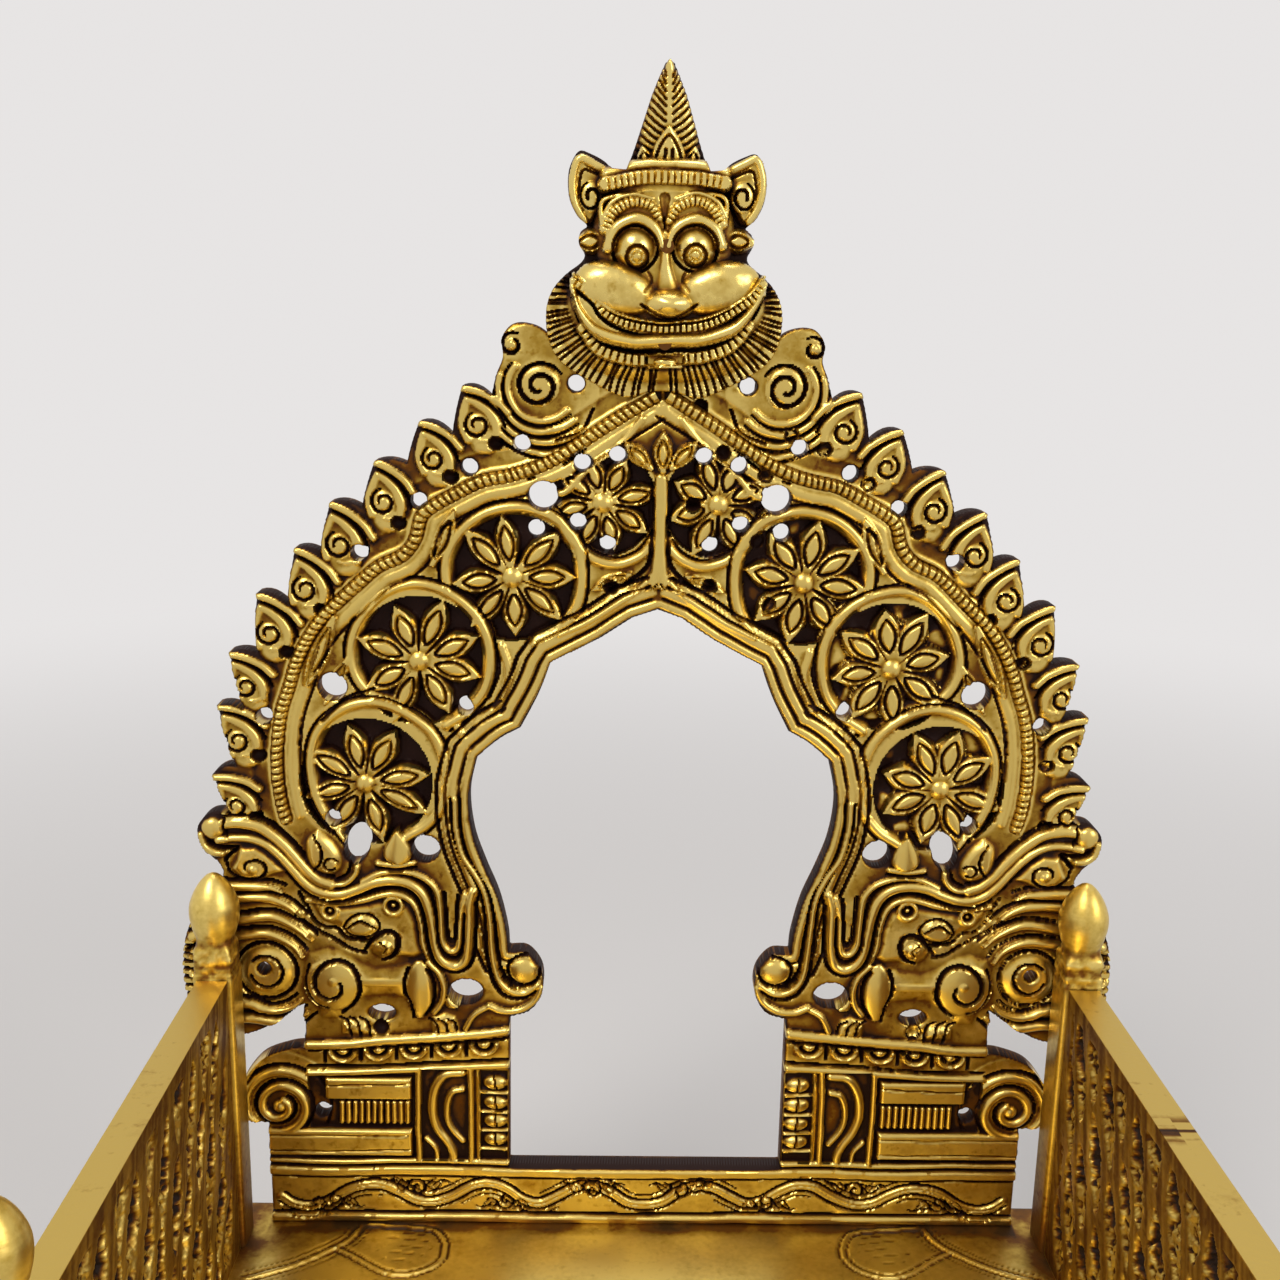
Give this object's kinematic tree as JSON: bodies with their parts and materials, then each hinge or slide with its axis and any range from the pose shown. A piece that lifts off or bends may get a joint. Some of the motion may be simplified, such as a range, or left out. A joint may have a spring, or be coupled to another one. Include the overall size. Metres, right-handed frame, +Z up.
{
  "type": "deity throne",
  "caption": "Brass household deity throne: pierced ornamental back arch with a guardian mask, carved side rails between bud-topped posts, flat seat and stepped moulded plinth.",
  "frame": {"origin": "middle of the footprint, on the surface that the feet stand on", "axes": "+Z up, -Y towards the front of the throne, +X to the right of someone who faces the front"},
  "size_m": [0.1926, 0.1292, 0.293],
  "materials": {
    "aged_brass": "worn polish on the raised work, brown oxide in the recesses",
    "polished_brass": "hand-polished with light brushing",
    "satin_brass": "satin on the rails, rough dark recesses",
    "screw_brass": "dull"
  },
  "bodies": {
    "root": {"seat_plate": "polished_brass", "back_arch": "aged_brass", "guardian_mask": "aged_brass", "mask_rivet_lower": "screw_brass", "mask_rivet_upper": "screw_brass", "corner_post_rear_right": "polished_brass", "corner_post_rear_left": "polished_brass", "corner_post_front_left": "polished_brass", "corner_post_front_right": "polished_brass", "side_panel_left": "satin_brass", "side_panel_right": "satin_brass", "front_apron": "aged_brass", "rear_apron": "aged_brass", "left_apron": "aged_brass", "right_apron": "aged_brass", "corner_block_rear_right": "aged_brass", "foot_rear_right": "aged_brass", "end_screw_rear_right": "screw_brass", "side_screw_rear_right": "screw_brass", "corner_block_rear_left": "aged_brass", "foot_rear_left": "aged_brass", "end_screw_rear_left": "screw_brass", "side_screw_rear_left": "screw_brass", "corner_block_front_left": "aged_brass", "foot_front_left": "aged_brass", "end_screw_front_left": "screw_brass", "side_screw_front_left": "screw_brass", "corner_block_front_right": "aged_brass", "foot_front_right": "aged_brass", "end_screw_front_right": "screw_brass", "side_screw_front_right": "screw_brass", "arch_screw_left": "screw_brass", "arch_screw_middle": "screw_brass", "arch_screw_right": "screw_brass"}
  },
  "joints": []
}
